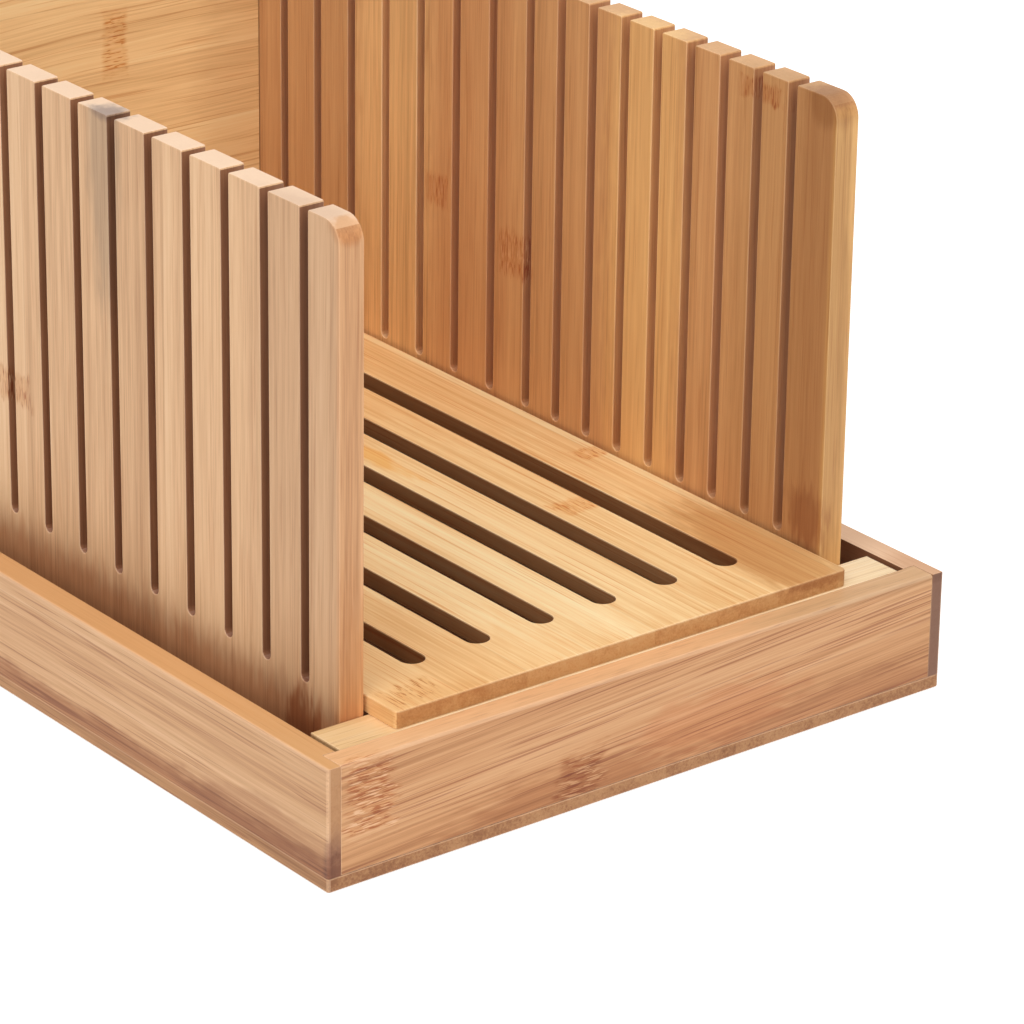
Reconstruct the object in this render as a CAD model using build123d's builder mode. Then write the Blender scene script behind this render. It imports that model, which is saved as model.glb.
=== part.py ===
from build123d import *
import os

os.makedirs("parts", exist_ok=True)

# Bread slicing guide on a crumb tray. Millimetres, +Z up, front towards -Y.
# Origin: centre of the tray's underside, where the guide rests on the table.

# ---- driving dimensions ------------------------------------------------------
tray_width = 180.0          # X, outside
tray_height = 30.0          # rim boards and bottom plate together
bottom_thickness = 3.4
rim_thickness = 6.8
lip_thickness = 3.5         # side board left standing past the corner rabbet

rim_to_cleat = 0.1          # lift-out clearance between rim and cleats
cleat_depth = 11.2          # Y
cleat_side_gap = 1.5        # cleat end to the rim's inner face
cleat_drop = 0.2            # cleat top below the rim's top

panel_thickness = 6.6
panel_to_rim = 9.7          # panel's outer face to the rim's inner face
panel_top = 146.4           # height above the table
panel_corner_radius = 5.5
cleat_to_panel = 0.2        # end clearance, lets the panels swing

slot_width = 3.1
slot_above_board = 0.65     # base board's top to the lowest point of the rounded slot end
thin_pitch = 12.17          # thin slices
thick_pitch = 14.8          # thick slices
thin_count = 9
thick_count = 9
stop_to_panel_end = 27.8    # second slot from either panel end, where the back board can stand

pin_radius = 1.5
pin_clearance = 0.05        # radial, between a pin and its hole in a panel
pin_depth_cleat = 10.0
pin_depth_panel = 12.0
foot_gap = 3.3              # tray floor to the left panel's round foot
fold_gap = 0.4              # between the two panels when both lie folded

board_thickness = 4.35
board_side_gap = 1.0        # base board edge to the panel's inner face
board_end_gap = 0.8         # board end to the rim's inner face
board_corner_radius = 1.2
crumb_slot_width = 6.1
crumb_slot_pitch = 18.38
crumb_slot_count = 6
crumb_slot_end = 25.5       # slot tip to the tray's outer end

stop_thickness = 7.2        # back board
stop_side_gap = 0.3         # back board edge to the panels' inner faces
tongue_thickness = 2.8
tongue_setback = 0.6        # tongue end below the panel's outer face
tongue_lift = 1.9           # tongue foot above the slot's lowest point

# ---- derived layout ----------------------------------------------------------
thin_end_margin = stop_to_panel_end - thin_pitch      # panel end to the nearest thin slot
thick_end_margin = stop_to_panel_end - thick_pitch    # panel end to the nearest thick slot
panel_length = (thin_end_margin + thick_end_margin + (thin_count - 1) * thin_pitch
                + thick_count * thick_pitch)
tray_length = panel_length + 2 * (rim_thickness + rim_to_cleat + cleat_depth + cleat_to_panel)
half_w = tray_width / 2
half_l = tray_length / 2
rim_height = tray_height - bottom_thickness
rim_mid_z = bottom_thickness + rim_height / 2
rabbet_depth = rim_thickness - lip_thickness

rim_inner_x = half_w - rim_thickness

cleat_length = 2 * (rim_inner_x - cleat_side_gap)
cleat_top = tray_height - cleat_drop
cleat_outer_y = half_l - rim_thickness - rim_to_cleat
cleat_inner_y = cleat_outer_y - cleat_depth
cleat_height = cleat_top - bottom_thickness
cleat_mid_y = cleat_outer_y - cleat_depth / 2
cleat_mid_z = bottom_thickness + cleat_height / 2

panel_end_y = panel_length / 2
panel_inner_x = rim_inner_x - panel_to_rim - panel_thickness
panel_mid_x = panel_inner_x + panel_thickness / 2
foot_radius = panel_thickness / 2
left_pivot_z = bottom_thickness + foot_gap + foot_radius        # folds first, lies lowest
right_pivot_z = left_pivot_z + panel_thickness + fold_gap       # folds on top of the left one

board_top = cleat_top + board_thickness
board_width = 2 * (panel_inner_x - board_side_gap)
slot_bottom = board_top + slot_above_board
board_length = tray_length - 2 * (rim_thickness + board_end_gap)
crumb_slot_length = tray_length - 2 * crumb_slot_end

# slot centres: thin group first for the right panel, the left panel is turned end for end
right_slots = [-panel_end_y + thin_end_margin + i * thin_pitch for i in range(thin_count)]
right_slots += [right_slots[-1] + (i + 1) * thick_pitch for i in range(thick_count)]
left_slots = sorted(-y for y in right_slots)

# the back board drops into the slots that line up across both panels
stop_y = panel_end_y - stop_to_panel_end
stop_body_half = panel_inner_x - stop_side_gap
tongue_half = panel_inner_x + panel_thickness - tongue_setback
tongue_bottom = slot_bottom + tongue_lift
stop_height = panel_top - board_top

pin_length = pin_depth_cleat + cleat_to_panel + pin_depth_panel
pin_mid_y = cleat_inner_y + pin_depth_cleat - pin_length / 2
pin_hole_radius = pin_radius + pin_clearance
pin_hole_end = 0.3          # room past the pin's tip

# ---- crumb tray --------------------------------------------------------------
with BuildPart() as tray_bottom:
    Box(tray_width, tray_length, bottom_thickness, align=(Align.CENTER, Align.CENTER, Align.MIN))
tray_bottom.part.label = "tray_bottom"
export_step(tray_bottom.part, "parts/tray_bottom.step")

# side boards run the full length; a rabbet at each end takes the cross board
with BuildPart() as tray_left_wall:
    with Locations((-half_w + rim_thickness / 2, 0, rim_mid_z)):
        Box(rim_thickness, tray_length, rim_height)
    with Locations(
        (-half_w + rim_thickness - rabbet_depth / 2, -half_l + rim_thickness / 2, rim_mid_z),
        (-half_w + rim_thickness - rabbet_depth / 2, half_l - rim_thickness / 2, rim_mid_z),
    ):
        Box(rabbet_depth, rim_thickness, rim_height, mode=Mode.SUBTRACT)
tray_left_wall.part.label = "tray_left_wall"
export_step(tray_left_wall.part, "parts/tray_left_wall.step")

with BuildPart() as tray_right_wall:
    with Locations((half_w - rim_thickness / 2, 0, rim_mid_z)):
        Box(rim_thickness, tray_length, rim_height)
    with Locations(
        (half_w - rim_thickness + rabbet_depth / 2, -half_l + rim_thickness / 2, rim_mid_z),
        (half_w - rim_thickness + rabbet_depth / 2, half_l - rim_thickness / 2, rim_mid_z),
    ):
        Box(rabbet_depth, rim_thickness, rim_height, mode=Mode.SUBTRACT)
tray_right_wall.part.label = "tray_right_wall"
export_step(tray_right_wall.part, "parts/tray_right_wall.step")

cross_board_length = tray_width - 2 * lip_thickness

with BuildPart() as tray_front_wall:
    with Locations((0, -half_l + rim_thickness / 2, rim_mid_z)):
        Box(cross_board_length, rim_thickness, rim_height)
tray_front_wall.part.label = "tray_front_wall"
export_step(tray_front_wall.part, "parts/tray_front_wall.step")

with BuildPart() as tray_back_wall:
    with Locations((0, half_l - rim_thickness / 2, rim_mid_z)):
        Box(cross_board_length, rim_thickness, rim_height)
tray_back_wall.part.label = "tray_back_wall"
export_step(tray_back_wall.part, "parts/tray_back_wall.step")

# ---- cleats that carry the base board and the panel pins -----------------------
pin_holes_x = ((-panel_mid_x, left_pivot_z), (panel_mid_x, right_pivot_z))

with BuildPart() as front_cleat:
    with Locations((0, -cleat_mid_y, cleat_mid_z)):
        Box(cleat_length, cleat_depth, cleat_height)
    with Locations([Location((x, -cleat_inner_y - pin_depth_cleat / 2, z), (90, 0, 0))
                    for x, z in pin_holes_x]):
        Cylinder(pin_radius, pin_depth_cleat, mode=Mode.SUBTRACT)
front_cleat.part.label = "front_cleat"
export_step(front_cleat.part, "parts/front_cleat.step")

with BuildPart() as back_cleat:
    with Locations((0, cleat_mid_y, cleat_mid_z)):
        Box(cleat_length, cleat_depth, cleat_height)
    with Locations([Location((x, cleat_inner_y + pin_depth_cleat / 2, z), (90, 0, 0))
                    for x, z in pin_holes_x]):
        Cylinder(pin_radius, pin_depth_cleat, mode=Mode.SUBTRACT)
back_cleat.part.label = "back_cleat"
export_step(back_cleat.part, "parts/back_cleat.step")

# ---- pins, pressed into the cleats, running in the panels ----------------------
with BuildPart() as pin_left_front:
    with Locations(Location((-panel_mid_x, -pin_mid_y, left_pivot_z), (90, 0, 0))):
        Cylinder(pin_radius, pin_length)
pin_left_front.part.label = "pin_left_front"
export_step(pin_left_front.part, "parts/pin_left_front.step")

with BuildPart() as pin_left_back:
    with Locations(Location((-panel_mid_x, pin_mid_y, left_pivot_z), (90, 0, 0))):
        Cylinder(pin_radius, pin_length)
pin_left_back.part.label = "pin_left_back"
export_step(pin_left_back.part, "parts/pin_left_back.step")

with BuildPart() as pin_right_front:
    with Locations(Location((panel_mid_x, -pin_mid_y, right_pivot_z), (90, 0, 0))):
        Cylinder(pin_radius, pin_length)
pin_right_front.part.label = "pin_right_front"
export_step(pin_right_front.part, "parts/pin_right_front.step")

with BuildPart() as pin_right_back:
    with Locations(Location((panel_mid_x, pin_mid_y, right_pivot_z), (90, 0, 0))):
        Cylinder(pin_radius, pin_length)
pin_right_back.part.label = "pin_right_back"
export_step(pin_right_back.part, "parts/pin_right_back.step")

# ---- slotted side panels -------------------------------------------------------
# outline in YZ with rounded top corners, a half-round foot about the pin axis, open slots
slot_cut_height = panel_top - slot_bottom + 5
pin_hole_depth = pin_depth_panel + pin_hole_end

with BuildPart() as left_panel:
    with BuildSketch(Plane.YZ.offset(-panel_inner_x - panel_thickness)):
        with Locations((0, (left_pivot_z + panel_top) / 2)):
            outline = Rectangle(panel_length, panel_top - left_pivot_z)
        fillet(outline.vertices().sort_by(Axis.Y)[-2:], panel_corner_radius)
        with Locations([(y, slot_bottom + slot_cut_height / 2) for y in left_slots]):
            Rectangle(slot_width, slot_cut_height - slot_width, mode=Mode.SUBTRACT)
        with Locations([(y, slot_bottom + slot_width / 2) for y in left_slots]):
            Circle(slot_width / 2, mode=Mode.SUBTRACT)
    extrude(amount=panel_thickness)
    with Locations(Location((-panel_mid_x, 0, left_pivot_z), (90, 0, 0))):
        Cylinder(foot_radius, panel_length)
    with Locations([Location((-panel_mid_x, s * (panel_end_y - pin_hole_depth / 2), left_pivot_z),
                             (90, 0, 0)) for s in (-1, 1)]):
        Cylinder(pin_hole_radius, pin_hole_depth, mode=Mode.SUBTRACT)
left_panel.part.label = "left_panel"
export_step(left_panel.part, "parts/left_panel.step")

with BuildPart() as right_panel:
    with BuildSketch(Plane.YZ.offset(panel_inner_x)):
        with Locations((0, (right_pivot_z + panel_top) / 2)):
            outline = Rectangle(panel_length, panel_top - right_pivot_z)
        fillet(outline.vertices().sort_by(Axis.Y)[-2:], panel_corner_radius)
        with Locations([(y, slot_bottom + slot_cut_height / 2) for y in right_slots]):
            Rectangle(slot_width, slot_cut_height - slot_width, mode=Mode.SUBTRACT)
        with Locations([(y, slot_bottom + slot_width / 2) for y in right_slots]):
            Circle(slot_width / 2, mode=Mode.SUBTRACT)
    extrude(amount=panel_thickness)
    with Locations(Location((panel_mid_x, 0, right_pivot_z), (90, 0, 0))):
        Cylinder(foot_radius, panel_length)
    with Locations([Location((panel_mid_x, s * (panel_end_y - pin_hole_depth / 2), right_pivot_z),
                             (90, 0, 0)) for s in (-1, 1)]):
        Cylinder(pin_hole_radius, pin_hole_depth, mode=Mode.SUBTRACT)
right_panel.part.label = "right_panel"
export_step(right_panel.part, "parts/right_panel.step")

# ---- base board with its crumb slots, resting on both cleats -------------------
with BuildPart() as base_board:
    with BuildSketch(Plane.XY.offset(cleat_top)):
        RectangleRounded(board_width, board_length, board_corner_radius)
        with GridLocations(crumb_slot_pitch, 1, crumb_slot_count, 1):
            SlotOverall(crumb_slot_length, crumb_slot_width, rotation=90, mode=Mode.SUBTRACT)
    extrude(amount=board_thickness)
base_board.part.label = "base_board"
export_step(base_board.part, "parts/base_board.step")

# ---- back board: lift-out stop with a tongue in a slot of each panel -----------
with BuildPart() as back_board:
    with Locations((0, stop_y, board_top + stop_height / 2)):
        Box(2 * stop_body_half, stop_thickness, stop_height)
    with Locations((0, stop_y, (tongue_bottom + panel_top) / 2)):
        Box(2 * tongue_half, tongue_thickness, panel_top - tongue_bottom)
back_board.part.label = "back_board"
export_step(back_board.part, "parts/back_board.step")
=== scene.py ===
import math

import bmesh
import bpy
from mathutils import Matrix, Vector


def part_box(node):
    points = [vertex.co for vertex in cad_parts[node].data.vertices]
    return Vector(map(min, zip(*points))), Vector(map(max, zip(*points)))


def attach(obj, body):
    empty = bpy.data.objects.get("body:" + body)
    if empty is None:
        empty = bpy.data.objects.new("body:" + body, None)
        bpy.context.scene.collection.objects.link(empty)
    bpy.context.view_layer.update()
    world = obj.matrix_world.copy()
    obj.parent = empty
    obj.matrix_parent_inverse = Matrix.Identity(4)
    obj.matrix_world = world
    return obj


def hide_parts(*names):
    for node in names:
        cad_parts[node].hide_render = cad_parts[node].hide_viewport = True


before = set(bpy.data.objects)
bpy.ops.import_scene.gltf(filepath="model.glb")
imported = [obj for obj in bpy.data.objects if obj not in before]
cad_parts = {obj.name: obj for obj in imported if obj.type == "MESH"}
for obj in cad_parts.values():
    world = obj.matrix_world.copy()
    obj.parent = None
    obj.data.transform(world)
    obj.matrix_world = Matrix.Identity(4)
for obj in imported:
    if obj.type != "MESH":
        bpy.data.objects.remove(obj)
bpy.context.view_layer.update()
print("frame loaded:", len(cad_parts), "nodes")

# Everything below is drawn in millimetres and made metres when a piece is finished.
millimetre = 0.001
drawing = {"weld": 0.001, "merge": 0.005, "near": 0.1, "apart": 1.0,     # distances
           "sharpAngle": 38, "roundSegments": 28,
           "straight": 0.99, "square": 0.9, "facing": 0.75, "sideways": 0.5}     # how far a direction turns


# shader helpers

def newGroup(name, inputs, outputs):
    group = bpy.data.node_groups.new(name, "ShaderNodeTree")
    for label, kind, value in inputs:
        socket = group.interface.new_socket(label, in_out="INPUT", socket_type=kind)
        socket.default_value = value
    for label in outputs:
        group.interface.new_socket(label, in_out="OUTPUT", socket_type="NodeSocketFloat")
    return group, group.nodes.new("NodeGroupInput"), group.nodes.new("NodeGroupOutput")


def newMaterial(name):
    material = bpy.data.materials.new(name)
    material.use_nodes = True
    return material, material.node_tree, material.node_tree.nodes["Principled BSDF"]


def plug(tree, socket, value):
    if isinstance(value, bpy.types.NodeSocket):
        tree.links.new(value, socket)
    else:
        socket.default_value = value


def calc(tree, operation, *values, clamp=False):
    node = tree.nodes.new("ShaderNodeMath")
    node.operation = operation
    node.use_clamp = clamp
    for socket, value in zip(node.inputs, values):
        plug(tree, socket, value)
    return node.outputs[0]


def remap(tree, value, fromLow, fromHigh, toLow=0.0, toHigh=1.0):
    node = tree.nodes.new("ShaderNodeMapRange")
    node.interpolation_type = "SMOOTHSTEP"
    for label, item in (("Value", value), ("From Min", fromLow), ("From Max", fromHigh),
                        ("To Min", toLow), ("To Max", toHigh)):
        plug(tree, node.inputs[label], item)
    return node.outputs["Result"]


def combine(tree, x, y, z):
    node = tree.nodes.new("ShaderNodeCombineXYZ")
    for socket, value in zip(node.inputs, (x, y, z)):
        plug(tree, socket, value)
    return node.outputs[0]


def separate(tree, vector):
    node = tree.nodes.new("ShaderNodeSeparateXYZ")
    plug(tree, node.inputs[0], vector)
    return node.outputs


def noise(tree, vector, detail=2.0, roughness=0.55, distortion=0.0):
    node = tree.nodes.new("ShaderNodeTexNoise")
    for label, value in (("Vector", vector), ("Scale", 1.0), ("Detail", detail), ("Roughness", roughness),
                         ("Distortion", distortion)):
        plug(tree, node.inputs[label], value)
    return node.outputs["Fac"]


def scaled(tree, vector, scale, shift=(0, 0, 0)):
    node = tree.nodes.new("ShaderNodeMapping")
    for label, value in (("Vector", vector), ("Scale", scale), ("Location", shift)):
        plug(tree, node.inputs[label], value)
    return node.outputs[0]


def blendColour(tree, mode, amount, first, second):
    node = tree.nodes.new("ShaderNodeMix")
    node.data_type = "RGBA"
    node.blend_type = mode
    node.clamp_result = True           # a patch may lighten, as the patches of painted light do, but a base colour stays under 1
    for place, value in ((0, amount), (6, first), (7, second)):     # the node's factor and its two colours
        plug(tree, node.inputs[place], value)
    return node.outputs[2]


def linear(red, green, blue):      # sRGB 0-255 to a linear colour
    parts = [value / 255 for value in (red, green, blue)]
    return [p / 12.92 if p <= 0.04045 else ((p + 0.055) / 1.055) ** 2.4 for p in parts] + [1.0]


# Noise under the wood: times per metre across and along the grain, offset, detail and roughness.
fibreLayers = {"fine": (1800, 42, 5.0, 2, 0.62), "middle": (620, 9, 11.0, 2, 0.55),
               "broad": (130, 3, 23.0, 1, 0.5), "threads": (1900, 34, 41.0, 1, 0.5)}
fibres = {"driftAcross": 28, "driftAlong": 9, "seedStep": 3.1, "seamHalf": 0.00032, "dashFrom": 0.60,
          "dashTo": 0.70, "fineTone": 0.8, "middleTone": 0.65, "broadTone": 0.6,
          "fineHeight": 0.6, "dashHeight": 0.35, "seamHeight": 0.6}


def makeBambooGroup():
    group, enter, leave = newGroup(
        "bambooFibre",
        [("Vector", "NodeSocketVector", (0, 0, 0)),
         ("Strip Width", "NodeSocketFloat", 0.02),
         ("Strip Contrast", "NodeSocketFloat", 0.4),
         ("Fibre Contrast", "NodeSocketFloat", 1.0),
         ("Wander", "NodeSocketFloat", 0.002),
         ("Shortness", "NodeSocketFloat", 1.0),
         ("Seed", "NodeSocketFloat", 0.0)],
        ["Tone", "Seam", "Dash", "Height"])
    i = enter.outputs
    x, y, z = separate(group, i["Vector"])

    drift = noise(group, combine(group, calc(group, "MULTIPLY", x, fibres["driftAcross"]),
                                 calc(group, "MULTIPLY", y, fibres["driftAcross"]),
                                 calc(group, "MULTIPLY_ADD", z, fibres["driftAlong"], i["Seed"])), 2)
    bent = calc(group, "MULTIPLY_ADD", calc(group, "SUBTRACT", drift, 0.5), i["Wander"], x)

    def layer(name):
        across, along, offset, detail, roughness = fibreLayers[name]
        seed = calc(group, "MULTIPLY", i["Seed"], fibres["seedStep"])
        length = calc(group, "MULTIPLY", i["Shortness"], along)
        point = combine(group, calc(group, "MULTIPLY_ADD", bent, across, offset),
                        calc(group, "MULTIPLY_ADD", y, across, seed),
                        calc(group, "MULTIPLY_ADD", z, length, i["Seed"]))
        return noise(group, point, detail, roughness)

    def swing(value, share):       # a noise value as a swing above and below nought
        return calc(group, "MULTIPLY", calc(group, "SUBTRACT", value, 0.5), share)

    # strips glued side by side, each with a tone of its own and a fine seam between them
    place = calc(group, "ADD", calc(group, "DIVIDE", x, i["Strip Width"]), i["Seed"])
    part = calc(group, "FRACT", place)
    chance = group.nodes.new("ShaderNodeTexWhiteNoise")
    chance.noise_dimensions = "2D"
    plug(group, chance.inputs["Vector"], combine(group, calc(group, "FLOOR", place), i["Seed"], 0.0))
    stripTone = calc(group, "SUBTRACT", chance.outputs["Value"], 0.5)
    edge = calc(group, "MULTIPLY", calc(group, "MINIMUM", part, calc(group, "SUBTRACT", 1.0, part)),
                i["Strip Width"])
    seam = remap(group, edge, 0.0, fibres["seamHalf"], 1.0, 0.0)

    fine = layer("fine")
    dash = remap(group, layer("threads"), fibres["dashFrom"], fibres["dashTo"])
    fibre = calc(group, "ADD", swing(fine, fibres["fineTone"]),
                 calc(group, "ADD", swing(layer("middle"), fibres["middleTone"]),
                      swing(layer("broad"), fibres["broadTone"])))
    tone = calc(group, "MULTIPLY_ADD", fibre, i["Fibre Contrast"],
                calc(group, "MULTIPLY_ADD", stripTone, i["Strip Contrast"], 0.5), clamp=True)
    height = calc(group, "SUBTRACT", calc(group, "MULTIPLY", fine, fibres["fineHeight"]),
                  calc(group, "ADD", calc(group, "MULTIPLY", dash, fibres["dashHeight"]),
                       calc(group, "MULTIPLY", seam, fibres["seamHeight"])))
    for label, socket in (("Tone", tone), ("Seam", seam), ("Dash", dash), ("Height", height)):
        group.links.new(socket, leave.inputs[label])
    return group


patches = {"rimFrom": 0.5, "rimTo": 1.0, "paleFrom": 0.57, "paleTo": 0.63, "darkFrom": 0.38, "darkTo": 0.44}


def makePatchGroup():
    # a tinted patch or a knuckle on a board: Mask is 1 inside its ragged rim, Pale and Dark are curled dashes
    # in it; a tinted patch darkens or lightens a stretch of board, and some of them are painted light and
    # some painted shade, as noted where they are listed
    group, enter, leave = newGroup(
        "boardPatch",
        [("Vector", "NodeSocketVector", (0, 0, 0)), ("Centre", "NodeSocketVector", (0, 0, 0)),
         ("Reach", "NodeSocketVector", (0.01, 0.01, 0.01)), ("Raggedness", "NodeSocketFloat", 0.5),
         ("Rough", "NodeSocketFloat", 0.5), ("Curl", "NodeSocketFloat", 0.5),
         ("Square", "NodeSocketFloat", 0.0)],
        ["Mask", "Pale", "Dark"])
    i = enter.outputs

    def vectorStep(operation, first, second=None):
        node = group.nodes.new("ShaderNodeVectorMath")
        node.operation = operation
        plug(group, node.inputs[0], first)
        if second is not None:
            plug(group, node.inputs[1], second)
        return node.outputs["Value" if operation == "LENGTH" else "Vector"]

    away = vectorStep("DIVIDE", vectorStep("SUBTRACT", i["Vector"], i["Centre"]), i["Reach"])
    sideX, sideY, sideZ = separate(group, vectorStep("ABSOLUTE", away))
    furthest = calc(group, "MAXIMUM", sideX, calc(group, "MAXIMUM", sideY, sideZ))
    away = vectorStep("LENGTH", away)
    away = calc(group, "MULTIPLY_ADD", calc(group, "SUBTRACT", furthest, away), i["Square"], away)
    away = calc(group, "MULTIPLY_ADD", calc(group, "SUBTRACT", i["Rough"], 0.5), i["Raggedness"], away)
    mask = remap(group, away, patches["rimFrom"], patches["rimTo"], 1.0, 0.0)
    pale = remap(group, i["Curl"], patches["paleFrom"], patches["paleTo"])
    dark = remap(group, i["Curl"], patches["darkFrom"], patches["darkTo"], 1.0, 0.0)
    group.links.new(mask, leave.inputs["Mask"])
    group.links.new(calc(group, "MULTIPLY", mask, pale), leave.inputs["Pale"])
    group.links.new(calc(group, "MULTIPLY", mask, dark), leave.inputs["Dark"])
    return group


bambooGroup = makeBambooGroup()
patchGroup = makePatchGroup()

# What a board's look leaves unsaid; its "order" names the axes of its width, thickness and grain.
bambooBasics = {"dash": 0.5, "dashColour": (196, 160, 130), "seamColour": (150, 105, 75), "lean": 0,
                "wander": 0.002, "shortness": 1.0, "stainAndShadingPatches": (), "knots": (), "darkAt": 0.12, "paleAt": 0.88,
                "cutFibre": (196, 160, 130), "cutFrom": 0.2, "cutTo": 0.6,
                "roughDark": 0.6, "roughPale": 0.47, "bump": 0.35, "bumpDepth": 0.00012,
                "rimNoise": (420, 420, 90), "curlNoise": (2600, 2600, 260), "curlShift": (0.4, 0.1, 0.2),
                "curlBend": 0.35}


def stainAndShadingPatch(at, reach, ragged, tint):
    return {"at": at, "reach": reach, "ragged": ragged, "tint": tint}


def knot(at, reach, ragged, tint, dark, pale, share):
    return dict(stainAndShadingPatch(at, reach, ragged, tint), dark=dark, pale=pale, share=share)


def bamboo(name, ownLook):
    look = dict(bambooBasics, **ownLook)
    material, tree, shader = newMaterial(name)
    place = tree.nodes.new("ShaderNodeTexCoord").outputs["Object"]
    axes = dict(zip("XYZ", separate(tree, place)))
    ordered = combine(tree, *[axes[letter] for letter in look["order"]])
    turn = tree.nodes.new("ShaderNodeMapping")
    turn.inputs["Rotation"].default_value = (0, math.radians(look["lean"]), 0)
    tree.links.new(ordered, turn.inputs["Vector"])

    fibre = tree.nodes.new("ShaderNodeGroup")
    fibre.node_tree = bambooGroup
    tree.links.new(turn.outputs[0], fibre.inputs["Vector"])
    for label, key in (("Strip Width", "strip"), ("Strip Contrast", "stripContrast"), ("Seed", "seed"),
                       ("Fibre Contrast", "fibreContrast"), ("Wander", "wander"), ("Shortness", "shortness")):
        fibre.inputs[label].default_value = look[key]

    def tinted(colour, mask, tint, share=None, mode="MULTIPLY"):
        amount = mask if share is None else calc(tree, "MULTIPLY", mask, share)
        return blendColour(tree, mode, amount, colour, linear(*tint))

    ramp = tree.nodes.new("ShaderNodeValToRGB")
    stops = ramp.color_ramp.elements
    stops[0].position, stops[0].color = look["darkAt"], linear(*look["dark"])
    stops[1].position, stops[1].color = look["paleAt"], linear(*look["pale"])
    centre = stops.new(0.5)
    centre.color = linear(*look["middle"])
    tree.links.new(fibre.outputs["Tone"], ramp.inputs["Fac"])
    colour = tinted(ramp.outputs["Color"], fibre.outputs["Dash"], look["dashColour"], look["dash"])
    colour = tinted(colour, fibre.outputs["Seam"], look["seamColour"], look["seam"])
    # end grain gets its own colour; upward faces get a tone of their own, painted light on the tray's front
    # and right wall tops and painted shade on the tray bottom; the wall tag darkens inner tray walls and slot
    # walls as painted shade, in the knife slots also the real burn of the cut; eased edges get a painted
    # highlight
    for mark, label in (("endGrain", "end"), ("topFace", "top"), ("shadeAndBurnWall", "wall"), ("easedEdgeHighlight", "edge")):
        if label in look:
            share, mode, tint = look[label]
            tagged = tree.nodes.new("ShaderNodeAttribute")
            tagged.attribute_name = mark
            colour = tinted(colour, tagged.outputs["Fac"], tint, share, mode)
            if label == "end" and "dots" in look:     # fibres cut across show as dots
                dots = remap(tree, fibre.outputs["Tone"], look["cutFrom"], look["cutTo"], look["dots"], 0.0)
                colour = tinted(colour, tagged.outputs["Fac"], look["cutFibre"], dots)

    rough = curl = 0.5
    if look["stainAndShadingPatches"] or look["knots"]:
        rough = noise(tree, scaled(tree, ordered, look["rimNoise"]), 2, 0.6)
    if look["knots"]:
        curl = noise(tree, scaled(tree, ordered, look["curlNoise"], look["curlShift"]), 1, 0.5,
                     look["curlBend"])
    for mark in look["stainAndShadingPatches"] + look["knots"]:
        isKnot = "share" in mark
        patch = tree.nodes.new("ShaderNodeGroup")
        patch.node_tree = patchGroup
        for label, value in (("Vector", place), ("Centre", [part * millimetre for part in mark["at"]]),
                             ("Reach", [part * millimetre for part in mark["reach"]]), ("Rough", rough),
                             ("Curl", curl), ("Raggedness", mark["ragged"]), ("Square", float(isKnot))):
            plug(tree, patch.inputs[label], value)
        colour = tinted(colour, patch.outputs["Mask"], mark["tint"])
        if isKnot:
            colour = tinted(colour, patch.outputs["Dark"], mark["dark"])
            colour = tinted(colour, patch.outputs["Pale"], mark["pale"], mark["share"], "MIX")

    tree.links.new(colour, shader.inputs["Base Color"])
    tree.links.new(remap(tree, fibre.outputs["Tone"], 0.0, 1.0, look["roughDark"], look["roughPale"]),
                   shader.inputs["Roughness"])
    bump = tree.nodes.new("ShaderNodeBump")
    bump.inputs["Strength"].default_value = look["bump"]
    bump.inputs["Distance"].default_value = look["bumpDepth"]
    tree.links.new(fibre.outputs["Height"], bump.inputs["Height"])
    tree.links.new(bump.outputs["Normal"], shader.inputs["Normal"])
    return material


# modelling helpers

def vertsIn(items):
    return [item for item in items if isinstance(item, bmesh.types.BMVert)]


def penLine(bm, vert, *step):
    tip = bmesh.ops.extrude_vert_indiv(bm, verts=[vert])["verts"][0]
    bmesh.ops.translate(bm, verts=[tip], vec=step)
    return tip


def penArc(bm, vert, centre, axis, degrees, steps):
    swept = bmesh.ops.spin(bm, geom=[vert], cent=centre, axis=axis, angle=math.radians(degrees), steps=steps)
    return vertsIn(swept["geom_last"])[0]


def openEdges(bm):
    return [edge for edge in bm.edges if not edge.link_faces]


def fillOutline(bm):
    bmesh.ops.remove_doubles(bm, verts=bm.verts[:], dist=drawing["weld"])
    bmesh.ops.contextual_create(bm, geom=openEdges(bm))


def thicken(bm, *step):
    raised = bmesh.ops.extrude_face_region(bm, geom=bm.faces[:])["geom"]
    bmesh.ops.translate(bm, verts=vertsIn(raised), vec=step)
    bmesh.ops.recalc_face_normals(bm, faces=bm.faces[:])


def growFaces(bm, faces, *step):       # draws some faces of a closed block out of it
    grown = bmesh.ops.extrude_face_region(bm, geom=faces)["geom"]
    bmesh.ops.delete(bm, geom=faces, context="FACES_ONLY")
    bmesh.ops.translate(bm, verts=vertsIn(grown), vec=step)


def drawBlock(low, high):
    bm = bmesh.new()
    pen = bm.verts.new(low)
    width, depth, height = high - low
    for step in ((width, 0, 0), (0, depth, 0), (-width, 0, 0), (0, -depth, 0)):
        pen = penLine(bm, pen, *step)
    fillOutline(bm)
    thicken(bm, 0, 0, height)
    return bm


def addRod(bm, centre, radius, length):       # a round rod that lies along y
    turn = Matrix.Translation(centre) @ Matrix.Rotation(math.radians(90), 4, "X")
    bmesh.ops.create_cone(bm, cap_ends=True, segments=drawing["roundSegments"], radius1=radius,
                          radius2=radius, depth=length, matrix=turn)


def middleOf(edge):
    return (edge.verts[0].co + edge.verts[1].co) / 2


def runsAlong(edge, axis):
    return abs((edge.verts[0].co - edge.verts[1].co).normalized()[axis]) > drawing["straight"]


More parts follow.
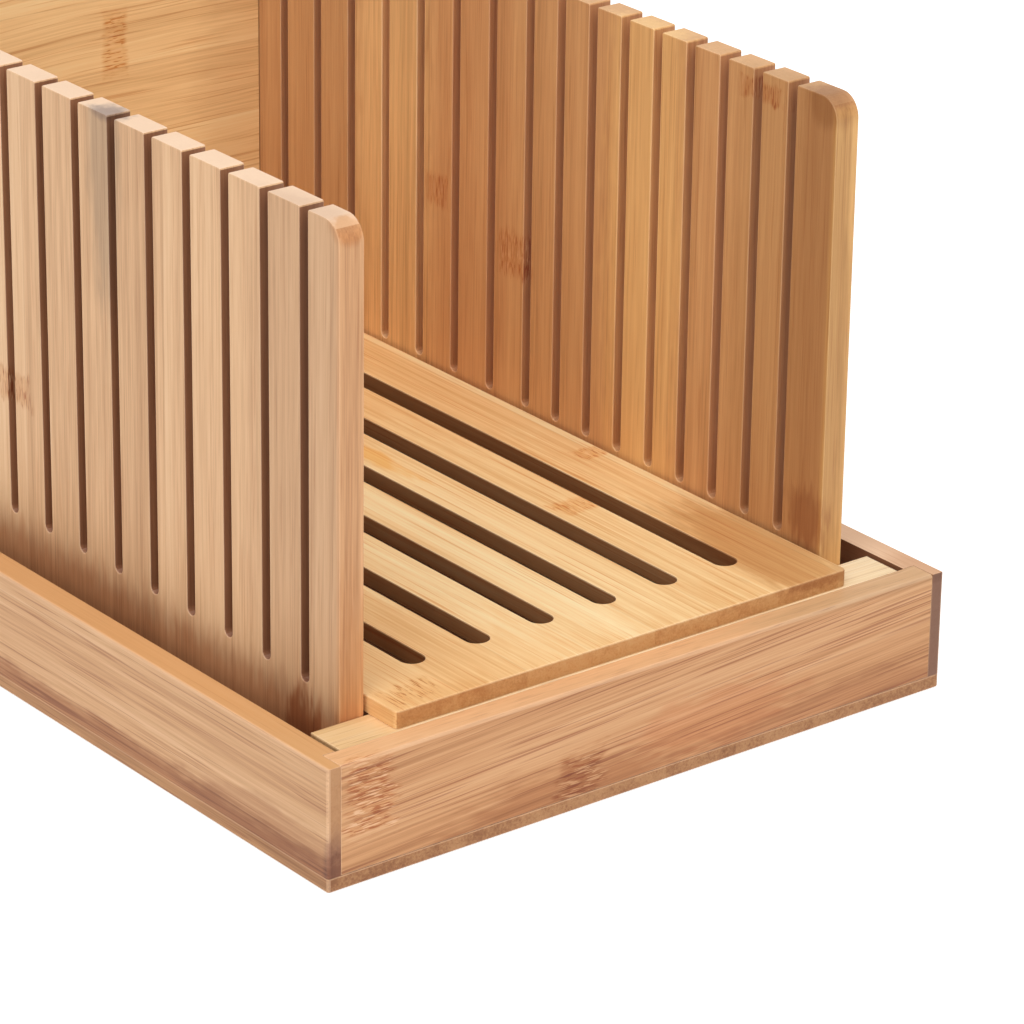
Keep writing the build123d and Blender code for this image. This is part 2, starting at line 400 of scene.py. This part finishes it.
def sharpEdges(bm, test=lambda edge: True):
    limit = math.radians(drawing["sharpAngle"])
    return [edge for edge in bm.edges if edge.calc_face_angle(0) > limit and test(edge)]


def ease(bm, edges, width, steps=2, mark=True):
    layer = bm.faces.layers.float.get("easedEdgeHighlight") or bm.faces.layers.float.new("easedEdgeHighlight")
    made = bmesh.ops.bevel(bm, geom=edges, offset=width, offset_type="OFFSET", segments=steps, profile=0.5,
                           affect="EDGES", clamp_overlap=True, material=-1)
    # the bevel faces are tagged so that their colour gets a painted highlight
    if mark:
        for face in made["faces"]:
            face[layer] = 1.0


def tagFaces(bm, label, test):
    layer = bm.faces.layers.float.get(label) or bm.faces.layers.float.new(label)
    for face in bm.faces:
        if test(face):
            face[layer] = 1.0


def addObject(name, data):
    thing = bpy.data.objects.new(name, data)
    bpy.context.scene.collection.objects.link(thing)
    return thing


def drill(piece, centre, radius, depth):
    bore = addObject("bore", bpy.data.meshes.new("bore"))
    cutter = bmesh.new()
    addRod(cutter, Vector(centre) * millimetre, radius * millimetre, depth * millimetre)
    cutter.to_mesh(bore.data)
    cutter.free()
    cut = piece.modifiers.new("pinHole", "BOOLEAN")
    cut.operation, cut.solver, cut.object = "DIFFERENCE", "EXACT", bore
    bpy.context.view_layer.update()
    drilled = bpy.data.meshes.new_from_object(piece.evaluated_get(bpy.context.evaluated_depsgraph_get()))
    piece.modifiers.clear()
    piece.data = drilled
    bpy.data.objects.remove(bore)


def finishPiece(bm, name, body, look, node, drills=()):
    bmesh.ops.remove_doubles(bm, verts=bm.verts[:], dist=drawing["merge"])     # where eased edges met
    bmesh.ops.dissolve_degenerate(bm, dist=drawing["merge"], edges=bm.edges[:])
    bmesh.ops.recalc_face_normals(bm, faces=bm.faces[:])
    if isinstance(look, dict):
        grain = "XYZ".index(look["order"][2])
        tagFaces(bm, "endGrain", lambda face: abs(face.normal[grain]) > drawing["facing"])
        tagFaces(bm, "topFace", lambda face: face.normal.z > drawing["facing"])
        material = bamboo(name + "Bamboo", look)
    else:
        material = look
    bmesh.ops.scale(bm, verts=bm.verts[:], vec=(millimetre,) * 3)
    mesh = bpy.data.meshes.new(name)
    bm.to_mesh(mesh)
    bm.free()
    piece = addObject(name, mesh)
    for centre, radius, depth in drills:
        drill(piece, centre, radius, depth)
    piece.data.materials.clear()
    piece.data.materials.append(material)
    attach(piece, body)
    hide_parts(node)
    print("made", name, len(piece.data.polygons), "faces")


def nodeBox(node):
    low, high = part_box(node)
    return low / millimetre, high / millimetre


# tray

tray = {"halfWidth": 90.0, "rim": 6.8, "lip": 3.5, "outerEase": 0.7, "jointEase": 0.22, "plateEase": 0.35}

# the edge entry lightens eased edges as a painted highlight; the wall entry darkens the tray's inner faces as
# painted shade
trayBasics = {"seam": 0.15, "end": (0.8, "MIX", (168, 124, 98)), "edge": (0.3, "MIX", (240, 200, 164)),
              "wall": (0.9, "MULTIPLY", (140, 108, 92))}
trayLooks = {
    "frontWall": dict(trayBasics, order="ZYX", seed=3.37, lean=-3.2, strip=0.0215, stripContrast=0.12,
                      fibreContrast=0.9, dash=0.6, dashColour=(178, 130, 100), shortness=0.6, wander=0.0008,
                      dark=(154, 99, 57), middle=(203, 148, 100), pale=(227, 179, 132),
                      # painted light: the top entry lightens the top face
                      top=(0.55, "MIX", (246, 194, 142)),
                      stainAndShadingPatches=(stainAndShadingPatch((-24, -148, 0), (46, 3, 15), 1.0, (228, 212, 198)),
                              stainAndShadingPatch((20, -148, 12), (30, 3, 9), 1.3, (250, 236, 228)),
                              stainAndShadingPatch((80, -144, 31), (70, 8, 4), 0.3, (234, 240, 242)),
                              stainAndShadingPatch((60, -148, 2), (60, 3, 10), 1.0, (236, 226, 220))),
                      knots=(knot((-78, -148, 21), (8, 3, 12), 1.5, (252, 242, 230),
                                  (214, 174, 142), (236, 192, 152), 0.7),
                             knot((-19, -148, 8), (8, 3, 8), 1.7, (230, 214, 194),
                                  (220, 184, 152), (214, 164, 118), 0.6))),
    "backWall": dict(trayBasics, order="ZYX", seed=8.12, strip=0.0215, stripContrast=0.15, fibreContrast=0.9,
                     dash=0.6, shortness=0.6, dark=(158, 102, 62), middle=(208, 152, 104),
                     pale=(232, 184, 138),
                     knots=(knot((34, 148, 17), (8, 3, 13), 1.3, (248, 234, 220),
                                 (206, 160, 130), (236, 192, 152), 0.5),)),
    "leftWall": dict(trayBasics, order="ZXY", seed=5.61, strip=0.0185, stripContrast=0.12, fibreContrast=0.95,
                     dash=0.6, dashColour=(184, 142, 108), shortness=0.7, wander=0.0008,
                     dark=(170, 118, 78), middle=(209, 161, 115), pale=(231, 189, 144),
                     end=(0.92, "MIX", (182, 132, 88)), top=(0.75, "MIX", (216, 160, 102)), dots=0.15,
                     stainAndShadingPatches=(stainAndShadingPatch((-86, 0, 3), (9, 600, 7.8), 0.8, (213, 190, 172)),
                             stainAndShadingPatch((-90, -124, 6), (4, 42, 10), 0.8, (230, 220, 214)),
                             stainAndShadingPatch((-88, -149, 2), (6, 4, 17), 0.2, (206, 196, 206)))),
    "rightWall": dict(trayBasics, order="ZXY", seed=11.9, strip=0.0185, stripContrast=0.12, fibreContrast=0.8,
                      dash=0.4, dark=(190, 136, 98), middle=(226, 180, 138), pale=(242, 206, 168),
                      # painted light: the top entry lightens the top face
                      top=(0.5, "MIX", (240, 200, 164)), end=(0.95, "MIX", (116, 76, 56)), shortness=0.7,
                      stainAndShadingPatches=(stainAndShadingPatch((88, -152, 30), (9, 26, 3), 0.5, (232, 220, 210)),)),
    "bottom": dict(trayBasics, order="XZY", seed=1.73, strip=0.021, stripContrast=0.3, fibreContrast=1.0,
                   dash=0.7, dark=(136, 88, 52), middle=(182, 132, 86), pale=(210, 162, 112),
                   # painted shade: the top entry darkens the upper face of the bottom plate, which lies in
                   # the dark under the base board
                   end=(0.6, "MIX", (160, 112, 70)), top=(0.9, "MULTIPLY", (140, 108, 92)), dots=0.5),
}

for side, name, node in ((-1, "leftWall", "tray_left_wall"), (1, "rightWall", "tray_right_wall")):
    low, high = nodeBox(node)
    outer, inner = side * tray["halfWidth"], side * (tray["halfWidth"] - tray["rim"])
    lipInner = side * (tray["halfWidth"] - tray["lip"])
    length = high.y - low.y
    bm = bmesh.new()
    pen = bm.verts.new((outer, low.y, low.z))
    pen = penLine(bm, pen, 0, length, 0)
    pen = penLine(bm, pen, lipInner - outer, 0, 0)
    pen = penLine(bm, pen, 0, -tray["rim"], 0)
    pen = penLine(bm, pen, inner - lipInner, 0, 0)
    pen = penLine(bm, pen, 0, 2 * tray["rim"] - length, 0)
    pen = penLine(bm, pen, lipInner - inner, 0, 0)
    pen = penLine(bm, pen, 0, -tray["rim"], 0)
    penLine(bm, pen, outer - lipInner, 0, 0)
    fillOutline(bm)
    thicken(bm, 0, 0, high.z - low.z)
    outside = sharpEdges(bm, lambda e: abs(middleOf(e).x - outer) < drawing["near"]
                         and middleOf(e).z > low.z + drawing["apart"])
    ease(bm, outside, tray["outerEase"], 3)
    ease(bm, sharpEdges(bm, lambda e: abs(middleOf(e).x - outer) > drawing["apart"]), tray["jointEase"])
    # the inner faces are tagged for painted shade
    tagFaces(bm, "shadeAndBurnWall", lambda face: face.normal.x * side < -drawing["square"])
    finishPiece(bm, name, "tray", trayLooks[name], node)

for name, node in (("frontWall", "tray_front_wall"), ("backWall", "tray_back_wall")):
    low, high = nodeBox(node)
    bm = drawBlock(low, high)
    outer = max(low.y, high.y, key=abs)
    topOutside = sharpEdges(bm, lambda e: abs(middleOf(e).y - outer) < drawing["near"]
                            and middleOf(e).z > high.z - drawing["near"])
    ease(bm, topOutside, tray["outerEase"], 3)
    ease(bm, sharpEdges(bm), tray["jointEase"])
    # the inner face is tagged for painted shade
    tagFaces(bm, "shadeAndBurnWall", lambda face: face.normal.y * outer < -drawing["square"])
    finishPiece(bm, name, "tray", trayLooks[name], node)

low, high = nodeBox("tray_bottom")
bm = drawBlock(low, high)
ease(bm, sharpEdges(bm, lambda e: runsAlong(e, 2)), tray["outerEase"], 3)
ease(bm, sharpEdges(bm), tray["plateEase"])
finishPiece(bm, "bottomBoard", "tray", trayLooks["bottom"], "tray_bottom")
print("tray done")

# cleats and pins

cleatEase = 0.35
cleatLook = {"order": "ZYX", "strip": 0.012, "stripContrast": 0.2, "fibreContrast": 0.9, "seed": 6.4,
             "dark": (212, 178, 132), "middle": (242, 213, 168), "pale": (250, 228, 194), "seam": 0.1,
             # the edge entry is a painted highlight on eased edges
             "end": (0.7, "MIX", (206, 164, 116)), "edge": (0.3, "MIX", (246, 222, 190)), "dots": 0.5,
             "stainAndShadingPatches": (stainAndShadingPatch((-76, -135, 30), (16, 20, 3), 0.5, (242, 228, 208)),)}
pin = {"radius": 1.5, "hole": 1.55, "across": 70.2, "leftHeight": 10.0, "rightHeight": 17.0,
       "cleatDepth": 10.0, "panelDepth": 12.0, "spare": 0.3, "overshoot": 1.0, "ease": 0.3,
       "dark": (150, 150, 152), "pale": (205, 205, 205), "scratches": (4000, 300, 4000),
       "gloss": (0.25, 0.45)}

for end, name, node in ((-1, "frontCleat", "front_cleat"), (1, "backCleat", "back_cleat")):
    low, high = nodeBox(node)
    bm = drawBlock(low, high)
    ease(bm, sharpEdges(bm), cleatEase)
    face = low.y if end > 0 else high.y
    depth = pin["cleatDepth"] + pin["spare"]
    y = face + end * (depth / 2 - pin["overshoot"] / 2)
    drills = [((x, y, z), pin["hole"], depth + pin["overshoot"])
              for x, z in ((-pin["across"], pin["leftHeight"]), (pin["across"], pin["rightHeight"]))]
    finishPiece(bm, name, "frame", cleatLook, node, drills=drills)


def steelFinish():
    material, tree, shader = newMaterial("pinSteel")
    shader.inputs["Metallic"].default_value = 1.0
    place = tree.nodes.new("ShaderNodeTexCoord").outputs["Object"]
    scratch = noise(tree, scaled(tree, place, pin["scratches"]))
    tree.links.new(blendColour(tree, "MIX", scratch, linear(*pin["dark"]), linear(*pin["pale"])),
                   shader.inputs["Base Color"])
    tree.links.new(remap(tree, scratch, 0.3, 0.7, *pin["gloss"]), shader.inputs["Roughness"])
    return material


pinSteel = steelFinish()
for node in [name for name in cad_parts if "pin" in name]:
    low, high = nodeBox(node)
    bm = bmesh.new()
    addRod(bm, (low + high) / 2, pin["radius"], high.y - low.y)
    ease(bm, sharpEdges(bm), pin["ease"])
    finishPiece(bm, "steel_" + node, "frame", pinSteel, node)
print("cleats and pins done")

# slotted side panels

panel = {"half": 129.595, "thickness": 6.6, "top": 146.4, "corner": 5.5, "slots": 18, "slotHalf": 1.55,
         "slotFloor": 34.8, "mouth": 0.45, "first": 113.965, "thinGaps": 8, "thin": 12.17, "thick": 14.8,
         "edge": 0.28, "cornerSteps": 10, "mouthSteps": 4, "floorSteps": 12, "footSteps": 8, "footFlat": 0.01}
panelBasics = {"order": "YXZ", "strip": 0.0193, "fibreContrast": 0.55, "seam": 0.1, "dash": 0.3,
               "dashColour": (206, 168, 136), "shortness": 1.0, "wander": 0.001}
panelLooks = {
    "leftPanel": dict(panelBasics, seed=4.21, lean=0.4, stripContrast=0.22,
                      dark=(176, 128, 88), middle=(226, 181, 136), pale=(247, 209, 165),
                      # the wall entry darkens the knife slot walls, partly painted shade and partly the real
                      # burn of the cut; the edge entry is a painted highlight on eased edges
                      end=(0.85, "MIX", (248, 214, 182)), wall=(0.85, "MULTIPLY", (150, 112, 96)),
                      edge=(0.3, "MIX", (240, 204, 168)),
                      stainAndShadingPatches=(stainAndShadingPatch((-73.5, -39.5, 150), (9, 8.5, 66), 0.5, (218, 222, 228)),
                              stainAndShadingPatch((-73.5, -39.5, 148), (9, 8.5, 4), 0.6, (206, 204, 212)),
                              stainAndShadingPatch((-73.5, -122, 90), (9, 32, 160), 0.2, (236, 232, 230)),
                              # darker foot: partly the wood's own colour, partly painted contact shade where
                              # the panel stands in the tray
                              stainAndShadingPatch((-73.5, -20, 14), (14, 400, 24), 0.5, (226, 195, 177)),
                              stainAndShadingPatch((-73.5, -116, 22), (5, 9, 13), 1.6, (212, 184, 164)),
                              stainAndShadingPatch((-70, -131, 90), (12, 3.4, 400), 0.0, (260, 250, 240)),
                              stainAndShadingPatch((-70, -131, 20), (12, 3.4, 60), 0.6, (246, 234, 216)),
                              stainAndShadingPatch((-70, -129, 145), (6, 5, 5), 0.8, (240, 220, 196))),
                      knots=(knot((-73.5, 0.5, 67.5), (4, 9, 5), 1.2, (242, 230, 218),
                                  (210, 174, 150), (230, 190, 150), 0.4),
                             knot((-73.5, 58, 90), (4, 9, 5), 1.2, (242, 230, 218),
                                  (210, 174, 150), (230, 190, 150), 0.4))),
    "rightPanel": dict(panelBasics, seed=9.73, lean=0.3, stripContrast=0.2,
                       dark=(160, 109, 64), middle=(206, 150, 98), pale=(229, 177, 121),
                       # the wall entry darkens the knife slot walls, partly painted shade and partly the real
                       # burn of the cut; the edge entry is a painted highlight on eased edges
                       end=(0.55, "MIX", (228, 180, 130)), wall=(0.85, "MULTIPLY", (226, 208, 206)),
                       edge=(0.35, "MIX", (236, 192, 148)),
                       stainAndShadingPatches=(stainAndShadingPatch((67, -124, 84), (10, 13, 110), 0.3, (230, 222, 216)),
                               stainAndShadingPatch((67, -116, 90), (10, 30, 160), 0.3, (235, 233, 228)),
                               stainAndShadingPatch((70, -126, 145), (12, 9, 8), 0.6, (228, 218, 208)),
                               stainAndShadingPatch((70, -131, 90), (14, 3.4, 400), 0.0, (282, 296, 284)),
                               # painted light: lifts the middle of the panel, which the left panel shades
                               stainAndShadingPatch((67, -62, 90), (10, 19, 140), 0.6, (277, 288, 280)),
                               stainAndShadingPatch((67, 5, 90), (10, 20, 140), 0.6, (250, 244, 242)),
                               # painted light: lifts the middle of the panel, which the left panel shades
                               stainAndShadingPatch((67, 40, 90), (10, 20, 140), 0.5, (290, 310, 318)),
                               stainAndShadingPatch((67, 86, 90), (10, 46, 140), 0.3, (242, 244, 248)),
                               stainAndShadingPatch((67, -124, 42), (3, 8, 10), 1.4, (226, 210, 204))),
                       knots=(knot((66.9, 21, 82), (4, 6, 5), 1.3, (246, 232, 222),
                                   (222, 184, 162), (216, 162, 118), 0.35),
                              knot((66.9, -12, 74), (4, 8, 7), 1.3, (244, 230, 218),
                                   (222, 184, 162), (228, 178, 132), 0.45),
                              knot((66.9, -104, 141.5), (4, 9, 3), 1.3, (240, 222, 208),
                                   (222, 184, 162), (220, 168, 122), 0.3),
                              knot((73.5, 40, 96), (4, 10, 6), 1.3, (244, 230, 218),
                                   (222, 184, 162), (228, 178, 132), 0.45))),
}


def slotPlaces(direction):
    places, y = [], -panel["first"]
    for count in range(panel["slots"]):
        places.append(y * direction)
        y += panel["thin"] if count < panel["thinGaps"] else panel["thick"]
    return sorted(places)


def makePanel(name, node, direction, body, pivotHeight):
    low, high = nodeBox(node)
    bm = bmesh.new()
    half, top, corner, mouth = panel["half"], panel["top"], panel["corner"], panel["mouth"]
    slotHalf, mouthSteps = panel["slotHalf"], panel["mouthSteps"]
    floorCentre = panel["slotFloor"] + slotHalf
    turnAxis = (1, 0, 0)
    pen = bm.verts.new((low.x, -half, low.z))
    pen = penLine(bm, pen, 0, 0, top - corner - low.z)
    pen = penArc(bm, pen, (low.x, -half + corner, top - corner), turnAxis, -90, panel["cornerSteps"])
    for y in slotPlaces(direction):
        mouthStart = y - slotHalf - mouth
        pen = penLine(bm, pen, 0, mouthStart - pen.co.y, 0)
        pen = penArc(bm, pen, (low.x, mouthStart, top - mouth), turnAxis, -90, mouthSteps)
        pen = penLine(bm, pen, 0, 0, floorCentre - pen.co.z)
        pen = penArc(bm, pen, (low.x, y, floorCentre), turnAxis, 180, panel["floorSteps"])
        pen = penLine(bm, pen, 0, 0, top - mouth - floorCentre)
        pen = penArc(bm, pen, (low.x, y + slotHalf + mouth, top - mouth), turnAxis, -90, mouthSteps)
    pen = penLine(bm, pen, 0, half - corner - pen.co.y, 0)
    pen = penArc(bm, pen, (low.x, half - corner, top - corner), turnAxis, -90, panel["cornerSteps"])
    pen = penLine(bm, pen, 0, 0, low.z - pen.co.z)
    penLine(bm, pen, 0, -2 * half, 0)
    fillOutline(bm)
    thicken(bm, panel["thickness"], 0, 0)
    foot = sharpEdges(bm, lambda e: runsAlong(e, 1) and middleOf(e).z < low.z + drawing["near"])
    ease(bm, foot, panel["thickness"] / 2 - panel["footFlat"], panel["footSteps"], mark=False)
    ease(bm, sharpEdges(bm), panel["edge"])

    def inSlot(face):
        middle = face.calc_center_median()
        return (abs(face.normal.x) < drawing["sideways"] and face.normal.z > -drawing["sideways"]
                and panel["slotFloor"] - drawing["near"] < middle.z < top - mouth
                and abs(middle.y) < half - corner)

    # the slot walls are tagged for a darker tone: painted shade, partly the real burn of the cut
    tagFaces(bm, "shadeAndBurnWall", inSlot)
    depth = pin["panelDepth"] + pin["spare"]
    x, y = math.copysign(pin["across"], low.x), half - depth / 2 + pin["overshoot"] / 2
    drills = [((x, end * y, pivotHeight), pin["hole"], depth + pin["overshoot"]) for end in (-1, 1)]
    finishPiece(bm, name, body, panelLooks[name], node, drills=drills)


makePanel("leftPanel", "left_panel", -1, "left_side", pin["leftHeight"])
makePanel("rightPanel", "right_panel", 1, "right_side", pin["rightHeight"])
print("side panels done")

# base board

board = {"corner": 1.2, "slots": 6, "slotHalf": 3.05, "pitch": 18.38, "tip": 122.395, "edge": 0.32,
         "slotsWithin": 50, "cornerSteps": 4, "tipSteps": 7}
boardLook = {"order": "XZY", "strip": 0.0185, "stripContrast": 0.3, "fibreContrast": 0.75, "seed": 2.58,
             "dark": (219, 162, 97), "middle": (245, 202, 143), "pale": (252, 228, 177), "seam": 0.12,
             "dash": 0.55, "dashColour": (226, 172, 108), "shortness": 0.6, "dots": 0.4, "wander": 0.001,
             # the wall entry darkens the crumb slot walls as painted shade; the edge entry is a painted
             # highlight on eased edges
             "end": (0.85, "MIX", (188, 132, 75)), "wall": (0.85, "MULTIPLY", (136, 98, 74)),
             "edge": (0.3, "MIX", (250, 214, 166)),
             # the first patch is painted shade: it darkens the board beside the right panel's foot
             "stainAndShadingPatches": (stainAndShadingPatch((58, -122, 34), (17, 46, 4), 0.9, (220, 202, 184)),
                        stainAndShadingPatch((10, -70, 34), (56, 90, 4), 0.8, (262, 274, 286)),
                        stainAndShadingPatch((-60, -143, 34), (30, 16, 4), 1.0, (246, 236, 224)),
                        stainAndShadingPatch((17.4, -12, 34), (4, 30, 4), 1.0, (248, 222, 180))),
             "knots": (knot((38, -73, 34), (7, 5, 3), 0.8, (248, 232, 214),
                            (226, 180, 140), (250, 214, 164), 0.4),
                       knot((62, -49, 34), (5, 4, 3), 0.8, (248, 232, 214),
                            (226, 180, 140), (250, 214, 164), 0.4),
                       knot((-57, -134, 34), (7, 5, 3), 1.8, (253, 251, 248),
                            (212, 176, 134), (250, 214, 164), 0.0))}


def makeBaseBoard():
    low, high = nodeBox("base_board")
    bm = bmesh.new()
    corner, tip, front, back = board["corner"], board["tip"] - board["slotHalf"], -high.y, high.y
    slots = [board["pitch"] * (count - (board["slots"] - 1) / 2) for count in range(board["slots"])]
    lanes = [low.x] + slots + [high.x]

    def arc(pen, x, y, degrees, steps):
        return penArc(bm, pen, (x, y, low.z), (0, 0, 1), degrees, steps)

    # bars side by side, joined past the tips of the slots
    for lane, (left, right) in enumerate(zip(lanes, lanes[1:])):
        first, last = lane == 0, lane == board["slots"]
        if first:
            pen = bm.verts.new((left, front + corner, low.z))
            pen = arc(pen, left + corner, front + corner, 90, board["cornerSteps"])
        else:
            pen = bm.verts.new((left, front, low.z))
        pen = penLine(bm, pen, right - (corner if last else 0) - pen.co.x, 0, 0)
        if last:
            pen = arc(pen, right - corner, front + corner, 90, board["cornerSteps"])
            pen = penLine(bm, pen, 0, 2 * (back - corner), 0)
            pen = arc(pen, right - corner, back - corner, 90, board["cornerSteps"])
        else:
            pen = penLine(bm, pen, 0, back - board["tip"], 0)
            pen = arc(pen, right, -tip, -90, board["tipSteps"])
            pen = penLine(bm, pen, 0, 2 * tip, 0)
            pen = arc(pen, right, tip, -90, board["tipSteps"])
            pen = penLine(bm, pen, 0, back - board["tip"], 0)
        if first:
            pen = penLine(bm, pen, left + corner - pen.co.x, 0, 0)
            pen = arc(pen, left + corner, back - corner, 90, board["cornerSteps"])
            penLine(bm, pen, 0, -2 * (back - corner), 0)
        else:
            pen = penLine(bm, pen, left - pen.co.x, 0, 0)
            pen = penLine(bm, pen, 0, board["tip"] - back, 0)
            pen = arc(pen, left, tip, -90, board["tipSteps"])
            pen = penLine(bm, pen, 0, -2 * tip, 0)
            pen = arc(pen, left, -tip, -90, board["tipSteps"])
            penLine(bm, pen, 0, board["tip"] - back, 0)
        fresh = dict.fromkeys(vert for edge in openEdges(bm) for vert in edge.verts)     # this bar's own
        bmesh.ops.remove_doubles(bm, verts=list(fresh), dist=drawing["weld"])
        bmesh.ops.contextual_create(bm, geom=openEdges(bm))
    bmesh.ops.remove_doubles(bm, verts=bm.verts[:], dist=drawing["weld"])
    thicken(bm, 0, 0, high.z - low.z)
    ease(bm, sharpEdges(bm), board["edge"])

    def inSlot(face):
        middle = face.calc_center_median()
        return (abs(face.normal.z) < drawing["sideways"] and abs(middle.x) < board["slotsWithin"]
                and abs(middle.y) < board["tip"] + drawing["near"])

    # the crumb slot walls are tagged for painted shade
    tagFaces(bm, "shadeAndBurnWall", inSlot)
    finishPiece(bm, "baseBoard", "base", boardLook, "base_board")


makeBaseBoard()
print("base board done")

# sliding back board

stop = {"halfWidth": 66.6, "thickness": 7.2, "tongue": 2.8, "reach": 72.9, "tongueLift": 2.55, "edge": 0.45,
        "sharpFrom": 66.5, "sharpTo": 70}     # the tongues' roots stay sharp
stopLook = {"order": "ZYX", "strip": 0.0195, "stripContrast": 0.15, "fibreContrast": 0.6, "seed": 7.77,
            "dark": (202, 154, 97), "middle": (243, 202, 144), "pale": (253, 227, 173), "seam": 0.12,
            "dash": 0.45, "dashColour": (206, 160, 110), "shortness": 0.7, "wander": 0.006,
            # the edge entry is a painted highlight on eased edges
            "end": (0.7, "MIX", (226, 176, 122)), "edge": (0.3, "MIX", (242, 204, 156)),
            "stainAndShadingPatches": (stainAndShadingPatch((66, 98.2, 60), (26, 4, 120), 0.5, (240, 236, 234)),),
            "knots": (knot((21.4, 98.2, 109), (4.5, 4, 11), 0.7, (246, 234, 220),
                           (224, 186, 144), (240, 196, 144), 0.5),
                      knot((-36, 98.2, 60), (4.5, 4, 13), 0.7, (246, 234, 220),
                           (224, 186, 144), (240, 196, 144), 0.5),
                      knot((12, 105.4, 84), (4.5, 4, 13), 0.7, (246, 234, 220),
                           (224, 186, 144), (240, 196, 144), 0.5))}


def makeBackBoard():
    low, high = nodeBox("back_board")
    middle = (low.y + high.y) / 2
    half, slim = stop["thickness"] / 2, stop["tongue"] / 2
    bm = bmesh.new()
    pen = bm.verts.new((-stop["halfWidth"], middle - half, low.z))
    for way in (1, -1):
        pen = penLine(bm, pen, way * 2 * stop["halfWidth"], 0, 0)
        for step in (half - slim, 2 * slim, half - slim):
            pen = penLine(bm, pen, 0, way * step, 0)
    fillOutline(bm)
    thicken(bm, 0, 0, stop["tongueLift"])
    lid = [face for face in bm.faces if face.normal.z > drawing["square"]]
    growFaces(bm, lid, 0, 0, high.z - low.z - stop["tongueLift"])
    bmesh.ops.recalc_face_normals(bm, faces=bm.faces[:])
    for side in (-1, 1):
        root = [face for face in bm.faces if face.normal.x * side > drawing["square"]
                and abs(face.calc_center_median().y - middle) < drawing["near"]
                and face.calc_center_median().z > low.z + stop["tongueLift"]]
        growFaces(bm, root, side * (stop["reach"] - stop["halfWidth"]), 0, 0)
    bmesh.ops.recalc_face_normals(bm, faces=bm.faces[:])
    eased = sharpEdges(bm, lambda e: not stop["sharpFrom"] <= abs(middleOf(e).x) <= stop["sharpTo"])
    ease(bm, eased, stop["edge"])
    finishPiece(bm, "backBoard", "stop", stopLook, "back_board")


makeBackBoard()
print("back board done")

# floor, light and camera

stage = {"floorSize": 8.0, "floorDrop": 0.0002, "floorTone": 0.8, "floorRoughness": 0.9, "floorSpecular": 0.1,
         "glow": 0.6, "ambient": 0.38, "aim": (0, 0, 0.06),
         "lamps": (("topLamp", (-0.3, -0.5, 3.0), 2.2, 20.0), ("leftLamp", (-2.3, -0.9, 2.0), 2.2, 36.0),
                   ("frontLamp", (-0.5, -2.3, 2.1), 2.2, 42.0))}
photoCamera = {"lens": 176.99, "sensor": 36.0, "furthest": 50.0, "at": (-0.66528, -0.93975, 0.50969),
               "right": (0.788301, -0.615157, 0.012835), "up": (0.232661, 0.317329, 0.919332),
               "back": (-0.569606, -0.721724, 0.393273)}


def notLighting(tree):       # 1 where the background is seen, mirrored or seen through
    rays = tree.nodes.new("ShaderNodeLightPath").outputs
    return calc(tree, "MAXIMUM", rays["Is Camera Ray"],
                calc(tree, "MAXIMUM", rays["Is Glossy Ray"], rays["Is Transmission Ray"]))


def makeFloor():
    bm = bmesh.new()
    bmesh.ops.create_grid(bm, x_segments=8, y_segments=8, size=stage["floorSize"] / 2)
    bmesh.ops.translate(bm, verts=bm.verts[:], vec=(0, 0, -stage["floorDrop"]))
    mesh = bpy.data.meshes.new("floor")
    bm.to_mesh(mesh)
    bm.free()
    floor = addObject("floor", mesh)
    material, tree, shader = newMaterial("whiteFloor")
    shader.inputs["Base Color"].default_value = (stage["floorTone"],) * 3 + (1.0,)
    shader.inputs["Roughness"].default_value = stage["floorRoughness"]
    shader.inputs["Specular IOR Level"].default_value = stage["floorSpecular"]
    glow = tree.nodes.new("ShaderNodeEmission")
    tree.links.new(calc(tree, "MULTIPLY", notLighting(tree), stage["glow"]), glow.inputs["Strength"])
    both = tree.nodes.new("ShaderNodeAddShader")
    tree.links.new(shader.outputs[0], both.inputs[0])
    tree.links.new(glow.outputs[0], both.inputs[1])
    tree.links.new(both.outputs[0], tree.nodes["Material Output"].inputs["Surface"])
    mesh.materials.append(material)


def makeLight():
    world = bpy.data.worlds.new("studio")
    bpy.context.scene.world = world
    world.use_nodes = True
    tree = world.node_tree
    background = tree.nodes["Background"]
    background.inputs["Color"].default_value = (1, 1, 1, 1)
    tree.links.new(calc(tree, "MULTIPLY_ADD", notLighting(tree), 1.0 - stage["ambient"], stage["ambient"]),
                   background.inputs["Strength"])
    for name, place, size, power in stage["lamps"]:
        data = bpy.data.lights.new(name, "AREA")
        data.shape, data.size, data.energy = "SQUARE", size, power
        lamp = addObject(name, data)
        lamp.location = place
        aim = Vector(stage["aim"]) - Vector(place)
        lamp.rotation_euler = aim.to_track_quat("-Z", "Y").to_euler()


def makeCamera():
    data = bpy.data.cameras.new("photoCamera")
    data.lens, data.sensor_width = photoCamera["lens"], photoCamera["sensor"]
    data.clip_end = photoCamera["furthest"]
    camera = addObject("photoCamera", data)
    turned = Matrix([photoCamera[axis] for axis in ("right", "up", "back")]).transposed().to_4x4()
    camera.matrix_world = Matrix.Translation(photoCamera["at"]) @ turned
    bpy.context.scene.camera = camera


makeFloor()
makeLight()
makeCamera()
bpy.context.scene.view_settings.view_transform = "Standard"
print("stage done")
